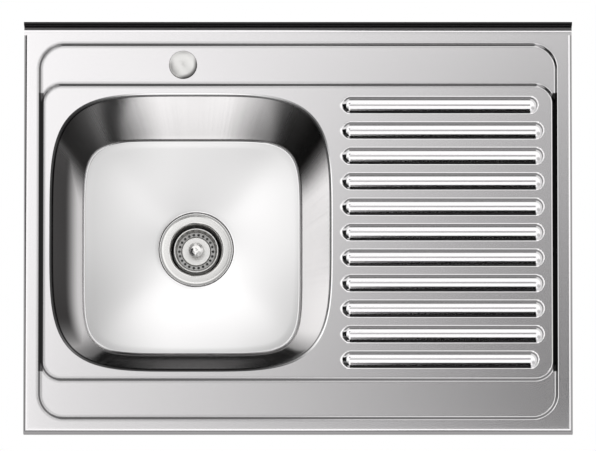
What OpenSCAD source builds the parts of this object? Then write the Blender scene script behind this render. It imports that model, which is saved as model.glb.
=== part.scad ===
// Lay-on kitchen sink: one drawn bowl on the left, a ribbed drainer on the right, an upstand at the wall.
// +X is right, +Y is towards the wall and +Z is up. The origin is on the underside of the seat lip, which
// rests on the cabinet, in the middle of its front strip.

/* [Top plate] */
// Width of the sink, side to side
deck_w = 800; // [740:1:1000]
// Depth of the sink, front to wall
deck_d = 600; // [540:1:660]
// Height of the folded edge, from the cabinet to the rim
edge_h = 30; // [26:0.5:45]
// Thickness of the stainless sheet
sheet = 0.8; // [0.6:0.1:1.2]
// Outer radius of the folded edge
edge_r = 5; // [3:0.5:8]
// Width of the inward lip that rests on the cabinet
lip_w = 17; // [14:0.5:24]
// Height of the upstand above the rim
upstand_h = 30; // [20:1:60]
// Thickness of the folded upstand, front to back
upstand_t = 4; // [3:0.5:8]
// Radius between the rim and the upstand
upstand_r = 5; // [3:0.5:8]

/* [Pressed panel] */
// Rim left flat at each side
rim_side = 21; // [15:0.5:35]
// Rim left flat at the front
rim_front = 19; // [14:0.5:35]
// Rim left flat at the wall side
rim_rear = 27; // [18:0.5:40]
// Corner radius of the panel in plan
panel_r = 38; // [20:1:60]
// Drop from the rim to the ledges
ledge_drop = 3; // [2:0.25:5]
// Drop from the ledges to the work area
work_drop = 3; // [2:0.25:5]
// Width in plan of each sloped step
step_run = 4; // [3:0.5:7]
// Width of the front ledge
ledge_front = 53; // [30:1:70]
// Width of the rear ledge, which carries the tap hole
ledge_rear = 55; // [50:1:80]
// Corner radius of the work area in plan
work_r = 30; // [15:1:50]

/* [Drainer] */
// Width of one rib
rib_w = 24.5; // [14:0.5:30]
// Height of one rib
rib_h = 4.5; // [3:0.25:7]
// Distance from rib to rib
rib_pitch = 37.5; // [32:0.5:60]
// Length of the tapered nose at the bowl end of a rib
rib_nose = 12; // [6:0.5:25]
// Flat between the bowl and the rib noses
rib_gap_bowl = 18; // [12:0.5:40]
// Flat between the ribs' round ends and the step at the right
rib_gap_side = 12.5; // [8:0.5:40]
// Flat left in front of the first rib and behind the last
rib_land = 10; // [5:0.5:30]
// How much shorter the first and last ribs are
end_rib_short = 8; // [0:0.5:30]

/* [Bowl] */
// Width of the bowl at its rim
bowl_w = 406; // [360:1:430]
// Depth of the bowl below the work area
bowl_depth = 160; // [120:1:220]
// Flat between the bowl and the step at its left
bowl_land_side = 12; // [10:0.5:40]
// Flat between the bowl and the steps in front of and behind it
bowl_land_front = 13.5; // [10:0.5:40]
// How far the walls lean in from rim to floor
wall_run = 43; // [30:0.5:55]
// Squareness of the rim outline: 2 is an ellipse, higher is squarer
rim_square = 4.2; // [3:0.1:8]
// Squareness of the floor outline
floor_square = 6; // [3:0.1:10]
// Radius of the roll from the deck into the wall
roll_r = 5; // [3:0.5:8]
// Radius between the wall and the floor
floor_r = 12; // [8:0.5:30]
// Width of the welded flange round the bowl
bowl_flange = 8; // [5:0.5:9]
// Fall of the floor towards the waste
floor_fall = 3; // [1:0.5:8]
// Distance of the waste to the right of the bowl's middle
waste_right = 6; // [-20:1:20]
// Distance of the waste to the rear of the bowl's middle
waste_back = -3; // [-20:1:20]

/* [Waste] */
// Diameter of the hole for the waste
waste_hole_d = 90; // [86:0.5:92]
// Diameter of the recess that takes the flange
recess_d = 114; // [110:0.5:124]
// Depth of the recess
recess_h = 3; // [2.5:0.25:5]
// Diameter of the strainer flange
flange_d = 106; // [100:0.5:108]
// Diameter of the cup at its mouth
mouth_d = 76; // [74:0.5:77]
// Depth of the cup
cup_depth = 32; // [30:0.5:45]
// Diameter of the cup at its floor
cup_floor_d = 72; // [70:0.5:74]
// Thickness of the cup's sheet
cup_sheet = 0.8; // [0.6:0.1:1.2]
// Diameter of each drain hole in the cup's floor
drain_hole_d = 7; // [5:0.25:8]
// Number of drain holes in the cup's floor
drain_holes = 6; // [3:1:7]
// Thickness of the gasket under the flange
gasket_t = 1; // [0.5:0.25:2]
// Thickness of the gasket between the bowl and the waste body
body_gasket_t = 3; // [2:0.25:5]
// Inner diameter of the waste body at the top
body_d = 82; // [81:0.5:86]
// Wall of the waste body
body_wall = 3; // [2.5:0.25:4]
// Width of the waste body's clamping flange
body_flange_w = 9; // [6:0.5:12]
// Height of the waste body's straight part
body_straight = 34; // [33:0.5:50]
// Height of the funnel below it
funnel_h = 22; // [15:0.5:40]
// Outer diameter of the 1 1/2 inch outlet thread
outlet_d = 47.8; // [40:0.1:60]
// Length of the outlet
outlet_len = 22; // [15:0.5:40]
// Diameter of the clamp screw
screw_d = 6; // [5:0.25:8]
// Height of the clamp screw's head
screw_head_h = 3.2; // [2.5:0.1:4]
// Outer diameter of the brass insert
insert_d = 10; // [9:0.5:14]
// Length of the brass insert
insert_len = 10; // [8:0.5:12]

/* [Basket] */
// Diameter of the basket over its rim
basket_d = 66; // [60:0.5:68]
// Height of the basket's wall
basket_h = 14.5; // [10:0.5:20]
// Diameter of the basket's raised centre
basket_centre_d = 41; // [38:0.5:44]
// Height of the raised centre
basket_step = 2.5; // [1:0.25:3]
// Width of the sunk ring that holds the basket's holes
basket_ring_w = 7.5; // [6:0.25:9]
// Number of holes in the basket
basket_holes = 22; // [12:1:28]
// Diameter of each hole in the basket
basket_hole_d = 3.6; // [2:0.1:4]
// Thickness of the rubber stopper
stopper_t = 3.8; // [2:0.1:6]
// Diameter of the rubber stopper
stopper_d = 38; // [36:0.5:39]
// Diameter of the post
post_d = 5; // [4:0.25:6]
// Diameter of the post's shoulder, on which the basket turns
shoulder_d = 8; // [7:0.25:10]
// Height of the nut under the stopper
nut_h = 3; // [2:0.25:5]
// Diameter of the knob
knob_d = 22; // [16:0.5:26]
// Height of the knob
knob_h = 19.5; // [15:0.5:30]

/* [Tap hole cap] */
// Diameter of the tap hole
tap_hole_d = 35; // [32:0.5:38]
// How far the tap hole lies to the left of the bowl's middle
tap_left = 12; // [-60:1:60]
// Diameter of the cap
cap_d = 41; // [40:0.5:46]
// Height of the cap
cap_h = 6.5; // [5:0.25:12]
// Wall of the cap
cap_wall = 1; // [0.8:0.1:1.5]
// Thickness of the seal under the cap
seal_t = 1; // [0.5:0.25:2]
// Diameter of the backing washer
bridge_d = 44; // [40:0.5:48]
// Thickness of the backing washer
bridge_t = 2; // [1:0.25:4]
// Diameter of the stud
stud_d = 6; // [5:0.25:8]
// Length of stud below the backing washer
stud_tail = 14; // [10:0.5:25]

/* [Clips, tag and pads] */
// Thickness of the clips
clip_t = 1.5; // [1:0.1:2.5]
// Width of the clips
clip_w = 25; // [16:0.5:40]
// Length of the clips' hanging leg
clip_leg = 40; // [25:0.5:60]
// Distance from the clips to the front and rear edges
clip_inset = 110; // [60:1:200]
// Diameter of the clips' screw holes
clip_hole_d = 4.6; // [3:0.1:6]
// Thickness of the earth tag
tag_t = 1.2; // [0.8:0.1:2]
// Width of the earth tag
tag_w = 20; // [14:0.5:30]
// Drop of the earth tag's lower leg below the ledge
tag_drop = 12; // [6:0.5:20]
// Diameter of the earth tag's hole
tag_hole_d = 6.5; // [5:0.25:8.5]
// Distance of the earth tag to the right of the tap hole
tag_right = 320; // [60:1:400]
// Thickness of the sound-deadening pads
pad_t = 2; // [1:0.25:4]
// Width of the drainer pad
drainer_pad_w = 220; // [100:1:240]
// Length of the drainer pad, front to rear
drainer_pad_l = 300; // [100:1:340]

/* [Fits] */
// Clearance between a pressed or moulded piece and its neighbour
loose_fit = 0.3; // [0.2:0.05:0.5]
// Radial clearance of a thread, an insert or a turning fit
running_fit = 0.05; // [0.02:0.01:0.1]
// Radial clearance of a screw in a plain hole
screw_fit = 0.3; // [0.2:0.05:0.5]

/* [Hidden] */
$fn = 96;

// Colours as the photo shows them
steel = "gainsboro";
polished = "whitesmoke";
moulded = "lightgray";
rubber = "dimgray";

// Overshoot of every cut
cut = 1;

// Plan of the plate, from the front edge to the wall
front_y = -lip_w / 2;
rear_y = front_y + deck_d;
ledge_z = edge_h - ledge_drop;
work_z = ledge_z - work_drop;
seam_z = work_z - sheet;

// The panel's and the work area's upper outlines: left, front, right, rear
panel = [-deck_w / 2 + rim_side, front_y + rim_front, deck_w / 2 - rim_side, rear_y - rim_rear];
work = [
    panel[0] + step_run,
    panel[1] + step_run + ledge_front,
    panel[2] - step_run,
    panel[3] - step_run - ledge_rear
];

// Bowl
bowl_d = work[3] - work[1] - 2 * step_run - 2 * bowl_land_front;
bowl_x = work[0] + step_run + bowl_land_side + bowl_w / 2;
bowl_y = (work[1] + work[3]) / 2;
floor_z = work_z - bowl_depth;
wall_lean = atan(wall_run / bowl_depth);
wall_turn = 90 - wall_lean;
roll_back = roll_r * tan(wall_turn / 2);
floor_in = wall_run + floor_r * tan(wall_turn / 2);
wall_top = [roll_r * sin(wall_turn) - roll_back, seam_z - roll_r + roll_r * cos(wall_turn)];
wall_foot = [floor_in - floor_r * cos(wall_lean), floor_z + floor_r - floor_r * sin(wall_lean)];

// Points round the bowl, and the angle by which they crowd towards its corners
bowl_points = 72;
corner_crowd = 7;

// Waste, from the recess down
waste_x = bowl_x + waste_right;
waste_y = bowl_y + waste_back;
recess_z = floor_z - floor_fall - recess_h;
recess_under = recess_z - sheet;
flange_z = recess_z + gasket_t + cup_sheet;
cup_z = flange_z - cup_depth;
screw_top = cup_z + screw_head_h;
body_top = recess_under - body_gasket_t;
funnel_top = body_top - body_straight;
outlet_top = funnel_top - funnel_h;
outlet_low = outlet_top - outlet_len;
outlet_bore = outlet_d - 2 * body_wall;
boss_top = cup_z - cup_sheet - cut;
boss_d = insert_d + 8;
screw_tip = boss_top - insert_len - 1.5;
boss_low = screw_tip - 2.5;
drain_ring_d = screw_d * 2 + drain_hole_d + 3;

// Basket set, from the screw's head up
nut_low = screw_top + 1;
stopper_low = nut_low + nut_h;
stopper_top = stopper_low + stopper_t;
centre_under = stopper_top + loose_fit;
centre_z = centre_under + cup_sheet;
knob_low = centre_z + loose_fit;
ring_z = centre_z - basket_step;
ring_inner = basket_centre_d / 2 + 1.5;
hole_ring_d = 2 * ring_inner + basket_ring_w - 2;

// Tap hole
tap_x = bowl_x - tap_left;
tap_y = (work[3] + panel[3] - step_run) / 2;
cap_low = ledge_z + seal_t;
ledge_under = ledge_z - sheet;
wing_low = ledge_under - bridge_t;

// Drainer ribs: as many as the work area holds, each a bar cut off by the plate
rib_r = (rib_w * rib_w / 4 + rib_h * rib_h) / (2 * rib_h);
rib_left = bowl_x + bowl_w / 2 + rib_gap_bowl;
rib_right = work[2] - step_run - rib_gap_side;
rib_room = work[3] - work[1] - 2 * step_run - rib_w - 2 * rib_land;
rib_count = floor(rib_room / rib_pitch) + 1;

function unit(v) = v / norm(v);
function xy(p) = [p[0], p[1]];
function reversed(list) = [for (i = [len(list) - 1 : -1 : 0]) list[i]];

// The arc of radius r that rounds corner b between a and c
function corner_arc(a, b, c, r, steps) =
    let (
        u = unit(a - b),
        v = unit(c - b),
        open = acos(u * v),
        centre = b + unit(u + v) * r / sin(open / 2),
        from = b + u * r / tan(open / 2) - centre,
        to = b + v * r / tan(open / 2) - centre,
        sweep = 180 - open
    )
    [for (k = [0 : steps]) centre + (from * sin(sweep * (1 - k / steps)) + to * sin(sweep * k / steps)) / sin(sweep)];

// A path of corners [x, y, radius] with each corner rounded
function rounded_path(corners, steps = 6) = [
    for (i = [0 : len(corners) - 1])
        let (p = corners[i])
        each (len(p) < 3 || p[2] <= 0)
            ? [xy(p)]
            : corner_arc(xy(corners[i - 1]), xy(p), xy(corners[i + 1]), p[2], steps)
];

// The same path moved to its right by t, with mitred corners
function moved_path(path, t) = [
    for (i = [0 : len(path) - 1])
        let (
            before = unit(path[max(i, 1)] - path[max(i, 1) - 1]),
            after = unit(path[min(i, len(path) - 2) + 1] - path[min(i, len(path) - 2)]),
            side = unit([before[1] + after[1], -before[0] - after[0]])
        )
        path[i] + side * t / (side * [after[1], -after[0]])
];

// Section of a sheet of thickness t, whose upper or inner face follows the corners
module sheet_section(corners, t) {
    path = rounded_path(corners);
    polygon(concat(path, reversed(moved_path(path, t))));
}

module disc(r, low, high) {
    translate([0, 0, low]) cylinder(r = r, h = high - low);
}

module washer(outer_r, inner_r, low, high) {
    difference() {
        disc(outer_r, low, high);
        disc(inner_r, low - cut, high + cut);
    }
}

module at_waste() {
    translate([waste_x, waste_y, 0]) children();
}

module at_tap_hole() {
    translate([tap_x, tap_y, 0]) children();
}

// Rectangle [left, front, right, rear] with round corners, grown by a margin
module soft_rectangle(box, r, grow) {
    corner = r + grow;
    left = box[0] - grow;
    front = box[1] - grow;
    right = box[2] + grow;
    rear = box[3] + grow;
    translate([left + corner, front]) square([right - left - 2 * corner, rear - front]);
    translate([left, front + corner]) square([right - left, rear - front - 2 * corner]);
    for (x = [left + corner, right - corner], y = [front + corner, rear - corner])
        translate([x, y]) circle(r = corner, $fn = 32);
}

// Pan with sloped sides: its upper outline is box at z high, and it narrows by step_run at z low
module pan(box, r, low, high, grow) {
    hull() {
        translate([0, 0, low]) linear_extrude(0.01) soft_rectangle(box, r, grow - step_run);
        translate([0, 0, high]) linear_extrude(cut) soft_rectangle(box, r, grow);
    }
}

// The plate's two pans, for its upper face when drop is 0 and its lower face when drop is the sheet
module pans(drop) {
    pan(panel, panel_r, ledge_z - drop, edge_h - drop, drop * tan(atan(ledge_drop / step_run) / 2));
    pan(work, work_r, work_z - drop, ledge_z - drop, drop * tan(atan(work_drop / step_run) / 2));
}

// Outer form of the folded plate, moved inwards by inset: edge, rim and upstand
module folded_form(inset) {
    top = edge_h - inset;
    crown = 0.45 * (upstand_t - 2 * inset);
    upstand_front = rear_y - upstand_t + inset;
    side_view = rounded_path([
        [front_y + inset, inset > 0 ? -cut : 0],
        [front_y + inset, top, edge_r - inset],
        [upstand_front, top, upstand_r + inset],
        [upstand_front, top + upstand_h, crown],
        [rear_y - inset, top + upstand_h, crown],
        [rear_y - inset, inset > 0 ? -cut : 0]
    ]);
    half = deck_w / 2 - inset;
    front_view = rounded_path([
        [-half, -2 * cut],
        [-half, top, edge_r - inset],
        [half, top, edge_r - inset],
        [half, -2 * cut]
    ]);
    intersection() {
        rotate([90, 0, 90])
            translate([0, 0, -deck_w / 2 - cut])
                linear_extrude(deck_w + 2 * cut)
                    polygon(side_view);
        union() {
            translate([0, rear_y + cut, 0])
                rotate([90, 0, 0])
                    linear_extrude(deck_d + 2 * cut)
                        polygon(front_view);
            translate([-half, rear_y - upstand_t - upstand_r, -2 * cut])
                cube([2 * half, upstand_t + upstand_r + cut, edge_h + upstand_h + 4 * cut]);
        }
    }
}

// One rib as a bar that lies along X: a cone for the nose and a ball for the far end
module rib_bar(y, length, inset) {
    r = rib_r - inset;
    ball = length - rib_w / 2;
    outline = concat(
        [[0, inset], [r - rib_h, inset], [r, rib_nose]],
        [for (a = [0 : 10 : 90]) [r * cos(a), ball + r * sin(a)]]
    );
    translate([rib_left, y, work_z + rib_h - rib_r])
        rotate([0, 90, 0])
            rotate_extrude()
                polygon(outline);
}

module rib_bars(inset) {
    for (i = [0 : rib_count - 1]) {
        end_rib = i == 0 || i == rib_count - 1;
        rib_bar(
            bowl_y + (i - (rib_count - 1) / 2) * rib_pitch,
            rib_right - rib_left - (end_rib ? end_rib_short : 0),
            inset
        );
    }
}

// Distance from the bowl's middle to its outline, inset by d, in direction a
function outline_reach(a, d) =
    let (
        square = rim_square + (floor_square - rim_square) * min(1, max(0, d / wall_run)),
        along = pow(abs(cos(a)) / (bowl_w / 2 - d), square),
        across = pow(abs(sin(a)) / (bowl_d / 2 - d), square)
    )
    pow(along + across, -1 / square);

// A ring round the bowl: outline inset by d, drawn towards the waste's circle of radius r by share
function bowl_ring(d, share, r, z) = [
    for (i = [0 : bowl_points - 1])
        let (
            even = 360 * i / bowl_points,
            a = even + corner_crowd * sin(4 * even),
            reach = outline_reach(a, d) * (1 - share) + r * share
        )
        [
            bowl_x + waste_right * share + reach * cos(a),
            bowl_y + waste_back * share + reach * sin(a),
            z
        ]
];

// Stations down the bowl's inner face: [inset, share, radius, z, normal inwards, normal upwards]
bowl_stations = concat(
    [[-bowl_flange, 0, 0, seam_z, 0, 1]],
    [
        for (a = [0 : wall_turn / 3 : wall_turn + 0.01])
            [roll_r * sin(a) - roll_back, 0, 0, seam_z - roll_r + roll_r * cos(a), sin(a), cos(a)]
    ],
    [
        for (f = [0.25 : 0.25 : 0.75])
            let (p = wall_top * (1 - f) + wall_foot * f)
            [p[0], 0, 0, p[1], cos(wall_lean), sin(wall_lean)]
    ],
    [
        for (k = [0 : 4])
            let (a = wall_lean + wall_turn * k / 4)
            [floor_in - floor_r * cos(a), 0, 0, floor_z + floor_r - floor_r * sin(a), cos(a), sin(a)]
    ],
    [
        [floor_in, 1, recess_d / 2 + recess_h, floor_z - floor_fall, 0, 1],
        [floor_in, 1, recess_d / 2, recess_z, 0, 1],
        [floor_in, 1, waste_hole_d / 2 - 2, recess_z, 0, 1]
    ]
);

// Closed band of rings, each joined to the next and the last to the first. Each cell splits along its
// shorter diagonal, so the two faces of a thin wall split alike.
module ring_band(rings) {
    count = len(rings);
    points = [for (ring = rings) each ring];
    faces = [
        for (m = [0 : count - 1], i = [0 : bowl_points - 1])
            let (
                here = m * bowl_points,
                next = (m + 1) % count * bowl_points,
                j = (i + 1) % bowl_points,
                a = here + i,
                b = next + i,
                c = next + j,
                d = here + j
            )
            each norm(points[a] - points[c]) < norm(points[b] - points[d])
                ? [[a, b, c], [a, c, d]]
                : [[a, b, d], [b, c, d]]
    ];
    polyhedron(points, faces, convexity = 6);
}

module deck() {
    color(steel) {
        difference() {
            union() {
                difference() {
                    folded_form(0);
                    pans(0);
                }
                intersection() {
                    rib_bars(0);
                    translate([rib_left - cut, front_y, seam_z])
                        cube([rib_right - rib_left + 2 * cut, deck_d, rib_h + 2 * sheet]);
                }
            }
            difference() {
                folded_form(sheet);
                pans(sheet);
            }
            rib_bars(sheet);
            translate([0, 0, seam_z - cut])
                linear_extrude(sheet + 2 * cut)
                    polygon([for (p = bowl_ring(0, 0, 0, 0)) xy(p)]);
            at_tap_hole() disc(tap_hole_d / 2, ledge_under - cut, ledge_z + cut);
        }
        linear_extrude(sheet) difference() {
            translate([-deck_w / 2, front_y]) square([deck_w, deck_d]);
            translate([-deck_w / 2 + lip_w, front_y + lip_w]) square([deck_w - 2 * lip_w, deck_d - 2 * lip_w]);
        }
    }
}

module bowl() {
    upper = [for (s = bowl_stations) bowl_ring(s[0], s[1], s[2], s[3])];
    lower = [for (s = bowl_stations) bowl_ring(s[0] - sheet * s[4], s[1], s[2], s[3] - sheet * s[5])];
    color(steel)
        difference() {
            ring_band(concat(upper, reversed(lower)));
            at_waste() disc(waste_hole_d / 2, recess_under - cut, recess_z + cut);
        }
}

// The pad follows the floor's underside from its edge to the waste
module bowl_pad() {
    near = 0.12;
    far = 0.72;
    r = recess_d / 2 + recess_h;
    top = floor_z - sheet - loose_fit;
    color(rubber)
        ring_band([
            bowl_ring(floor_in, near, r, top - near * floor_fall),
            bowl_ring(floor_in, far, r, top - far * floor_fall),
            bowl_ring(floor_in, far, r, top - far * floor_fall - pad_t),
            bowl_ring(floor_in, near, r, top - near * floor_fall - pad_t)
        ]);
}

module drainer_pad() {
    middle_x = (rib_left + rib_right) / 2;
    pad = [
        middle_x - drainer_pad_w / 2,
        bowl_y - drainer_pad_l / 2,
        middle_x + drainer_pad_w / 2,
        bowl_y + drainer_pad_l / 2
    ];
    color(rubber)
        translate([0, 0, seam_z - loose_fit - pad_t])
            linear_extrude(pad_t)
                soft_rectangle(pad, 20, 0);
}

// Stepped strap: its foot is welded under the rear ledge, and its lower leg has the hole
module earth_tag() {
    color("silver")
        translate([tap_x + tag_right, tap_y, ledge_under])
            difference() {
                translate([-tag_w / 2, 0, 0]) {
                    translate([0, 0, -tag_t]) cube([tag_w, tag_w, tag_t]);
                    translate([0, 0, -tag_drop]) cube([tag_w, tag_t, tag_drop]);
                    translate([0, tag_t - tag_w, -tag_drop]) cube([tag_w, tag_w, tag_t]);
                }
                translate([0, tag_t - tag_w / 2, -tag_drop - cut])
                    cylinder(d = tag_hole_d, h = tag_t + 2 * cut);
            }
}

// Clip at the right-hand side: one leg lies on the seat lip, the other hangs down inside the cabinet
module cabinet_clip() {
    leg_x = deck_w / 2 - lip_w - loose_fit - clip_t;
    hook = lip_w - sheet - cut + loose_fit + clip_t;
    color("silver")
        difference() {
            union() {
                translate([leg_x, -clip_w / 2, sheet]) cube([hook, clip_w, clip_t]);
                translate([leg_x, -clip_w / 2, -clip_leg + clip_w / 2])
                    cube([clip_t, clip_w, clip_leg - clip_w / 2 + sheet + clip_t]);
                translate([leg_x, 0, -clip_leg + clip_w / 2])
                    rotate([0, 90, 0])
                        cylinder(d = clip_w, h = clip_t);
            }
            translate([leg_x - cut, 0, -clip_leg + clip_w / 2])
                rotate([0, 90, 0])
                    cylinder(d = clip_hole_d, h = clip_t + 2 * cut);
        }
}

module clip_front_left() {
    translate([0, front_y + clip_inset, 0]) mirror([1, 0, 0]) cabinet_clip();
}

module clip_front_right() {
    translate([0, front_y + clip_inset, 0]) cabinet_clip();
}

module clip_rear_left() {
    translate([0, rear_y - clip_inset, 0]) mirror([1, 0, 0]) cabinet_clip();
}

module clip_rear_right() {
    translate([0, rear_y - clip_inset, 0]) cabinet_clip();
}

module strainer_flange() {
    color(polished)
        at_waste()
            difference() {
                rotate_extrude()
                    sheet_section([
                        [screw_d / 2 + screw_fit, cup_z],
                        [cup_floor_d / 2, cup_z, 4],
                        [mouth_d / 2, flange_z, 4],
                        [flange_d / 2, flange_z]
                    ], cup_sheet);
                for (a = [0 : 360 / drain_holes : 359])
                    rotate([0, 0, a])
                        translate([drain_ring_d / 2, 0, cup_z - cup_sheet - cut])
                            cylinder(d = drain_hole_d, h = cup_sheet + 2 * cut);
            }
}

module flange_gasket() {
    color(rubber) at_waste() washer(flange_d / 2 - 1, waste_hole_d / 2 - 2, recess_z, recess_z + gasket_t);
}

module body_gasket() {
    color(rubber) at_waste() washer(body_d / 2 + body_flange_w, body_d / 2, body_top, recess_under);
}

// Funnel with a clamping flange, an outlet and a boss on three arms for the insert
module waste_body() {
    arm_t = 3;
    arm_h = 6;
    bore_r = outlet_bore / 2;
    color(moulded)
        at_waste()
            difference() {
                union() {
                    rotate_extrude()
                        sheet_section([
                            [bore_r, outlet_low],
                            [bore_r, outlet_top, 4],
                            [body_d / 2, funnel_top, 6],
                            [body_d / 2, body_top]
                        ], body_wall);
                    washer(body_d / 2 + body_flange_w, body_d / 2, body_top - body_wall, body_top);
                    disc(boss_d / 2, boss_low, boss_top);
                    for (a = [90, 210, 330])
                        rotate([0, 0, a])
                            translate([boss_d / 4, -arm_t / 2, boss_top - arm_h])
                                cube([body_d / 2 + body_wall / 2 - boss_d / 4, arm_t, arm_h]);
                }
                disc(insert_d / 2 + running_fit, boss_top - insert_len, boss_top + cut);
                disc(screw_d / 2 + screw_fit, screw_tip - 1, boss_top);
            }
}

module thread_insert() {
    color("goldenrod")
        at_waste()
            washer(insert_d / 2, screw_d / 2 + running_fit, boss_top - insert_len, boss_top);
}

module clamp_screw() {
    slot_w = 1.2;
    color("silver")
        at_waste()
            difference() {
                union() {
                    disc(screw_d / 2, screw_tip, cup_z);
                    disc(screw_d, cup_z, screw_top);
                }
                translate([-screw_d - cut, -slot_w / 2, screw_top - screw_head_h / 2])
                    cube([2 * screw_d + 2 * cut, slot_w, screw_head_h]);
            }
}

module strainer_basket() {
    outer_r = ring_inner + basket_ring_w;
    wall_top = ring_z + basket_h;
    color(polished)
        at_waste()
            difference() {
                rotate_extrude()
                    sheet_section([
                        [shoulder_d / 2 + running_fit, centre_z],
                        [basket_centre_d / 2, centre_z, 1.2],
                        [ring_inner, ring_z, 1.2],
                        [outer_r - 2, ring_z, 2],
                        [basket_d / 2 - 2, wall_top, 1],
                        [basket_d / 2, wall_top]
                    ], cup_sheet);
                for (i = [0 : basket_holes - 1])
                    rotate([0, 0, 360 * i / basket_holes])
                        translate([hole_ring_d / 2, 0, ring_z - cup_sheet - cut])
                            cylinder(d = basket_hole_d, h = cup_sheet + 2 * cut);
            }
}

module basket_knob() {
    knob_r = knob_d / 2;
    top = knob_low + knob_h;
    bore_top = knob_low + 0.6 * knob_h;
    color(polished)
        at_waste()
            rotate_extrude()
                polygon(rounded_path([
                    [post_d / 2 + running_fit, knob_low],
                    [6, knob_low],
                    [4.6, knob_low + 3, 3],
                    [4.6, top - 9.5, 2],
                    [knob_r, top - 7, 1.5],
                    [knob_r, top - 2, 1.8],
                    [0.35 * knob_r, top, 3],
                    [0, top - 1],
                    [0, bore_top],
                    [post_d / 2 + running_fit, bore_top]
                ]));
}

module basket_post() {
    color("silver")
        at_waste() {
            disc(post_d / 2, screw_top + loose_fit, knob_low + 0.55 * knob_h);
            disc(shoulder_d / 2, stopper_top, knob_low);
        }
}

// Bell of rubber: its lip closes on the cup's floor round the drain holes
module stopper_seal() {
    stopper_r = stopper_d / 2;
    lip_low = cup_z + loose_fit;
    color(rubber)
        at_waste()
            rotate_extrude()
                polygon([
                    [post_d / 2 + running_fit, stopper_low],
                    [stopper_r - 4, stopper_low],
                    [stopper_r - 2.5, lip_low],
                    [stopper_r, lip_low],
                    [stopper_r, stopper_top - 1.5],
                    [stopper_r - 1.5, stopper_top],
                    [post_d / 2 + running_fit, stopper_top]
                ]);
}

module post_nut() {
    color("silver")
        at_waste()
            difference() {
                translate([0, 0, nut_low]) cylinder(d = 1.85 * post_d, h = nut_h, $fn = 6);
                disc(post_d / 2 + running_fit, nut_low - cut, stopper_low + cut);
            }
}

module tap_hole_cap() {
    cap_r = cap_d / 2;
    top = cap_low + cap_h;
    color(polished)
        at_tap_hole()
            rotate_extrude()
                sheet_section([
                    [cap_r - cap_wall, cap_low],
                    [cap_r - cap_wall, top - 1.5 - cap_wall, 3.2],
                    [stud_d + 1, top - cap_wall, 4],
                    [0, top - cap_wall]
                ], cap_wall);
}

module cap_stud() {
    pad_top = cap_low + cap_h - cap_wall;
    color("silver")
        at_tap_hole() {
            disc(stud_d / 2, wing_low - stud_tail, pad_top);
            disc(stud_d, pad_top - cap_wall, pad_top);
        }
}

module cap_seal() {
    color(rubber) at_tap_hole() washer(cap_d / 2 - 0.3, tap_hole_d / 2 + 0.5, ledge_z, cap_low);
}

module cap_bridge() {
    color("silver") at_tap_hole() washer(bridge_d / 2, stud_d / 2 + screw_fit, wing_low, ledge_under);
}

module cap_wing_nut() {
    hub_r = stud_d / 2 + 3.5;
    hub_h = 7;
    wing_t = 2;
    wing_reach = 15;
    wing_h = 11;
    color("silver")
        at_tap_hole()
            difference() {
                union() {
                    disc(hub_r, wing_low - hub_h, wing_low);
                    for (side = [0, 180])
                        rotate([0, 0, side])
                            translate([hub_r / 2 + stud_d / 4, -wing_t / 2, wing_low - wing_h])
                                cube([wing_reach - hub_r / 2 - stud_d / 4, wing_t, wing_h - 2]);
                }
                disc(stud_d / 2 + running_fit, wing_low - hub_h - cut, wing_low + cut);
            }
}

deck();
bowl();
bowl_pad();
drainer_pad();
earth_tag();
clip_front_left();
clip_front_right();
clip_rear_left();
clip_rear_right();
strainer_flange();
flange_gasket();
body_gasket();
waste_body();
thread_insert();
clamp_screw();
strainer_basket();
basket_knob();
basket_post();
stopper_seal();
post_nut();
tap_hole_cap();
cap_stud();
cap_seal();
cap_bridge();
cap_wing_nut();
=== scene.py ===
# Lay-on stainless kitchen sink: one bowl on the left, a ribbed drainer on the right, a rear upstand,
# a capped tap hole and a basket strainer waste. Sizes below are in millimetres unless a property says
# otherwise, and become metres where a mesh is made.

import math
from types import SimpleNamespace

import bmesh
import bpy
import numpy as np
from bpy.props import FloatProperty, FloatVectorProperty, IntProperty, PointerProperty
from bpy.types import Operator, Panel, PropertyGroup
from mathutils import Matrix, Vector
from mathutils.geometry import delaunay_2d_cdt


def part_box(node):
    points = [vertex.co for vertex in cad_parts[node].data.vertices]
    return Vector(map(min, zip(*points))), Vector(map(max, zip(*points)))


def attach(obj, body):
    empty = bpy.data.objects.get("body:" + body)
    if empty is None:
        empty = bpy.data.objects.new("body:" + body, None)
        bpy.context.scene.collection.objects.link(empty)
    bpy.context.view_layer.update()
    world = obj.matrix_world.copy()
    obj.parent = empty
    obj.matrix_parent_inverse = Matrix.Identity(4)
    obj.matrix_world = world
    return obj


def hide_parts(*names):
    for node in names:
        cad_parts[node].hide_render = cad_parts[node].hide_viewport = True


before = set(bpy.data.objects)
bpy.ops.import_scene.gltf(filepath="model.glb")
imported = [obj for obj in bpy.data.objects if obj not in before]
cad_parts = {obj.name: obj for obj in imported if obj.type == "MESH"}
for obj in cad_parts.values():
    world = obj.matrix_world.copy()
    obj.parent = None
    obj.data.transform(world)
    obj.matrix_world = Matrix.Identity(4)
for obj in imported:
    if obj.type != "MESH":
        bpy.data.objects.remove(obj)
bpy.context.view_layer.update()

bl_info = {
    "name": "Kitchen sink",
    "version": (1, 0, 0),
    "blender": (4, 5, 0),
    "location": "View3D > Sidebar > Sink",
    "description": "Pressed stainless sink with its bowl, drainer ribs, basket strainer waste and fittings",
    "category": "Add Mesh",
}

MM = 0.001


def low_corner(node):
    """Lowest corner of a node of the frame, in millimetres"""
    return np.array(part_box(node)[0]) / MM


def high_corner(node):
    """Highest corner of a node of the frame, in millimetres"""
    return np.array(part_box(node)[1]) / MM


def middle(node):
    """Middle of a node of the frame, in millimetres"""
    return (low_corner(node) + high_corner(node)) / 2


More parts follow.
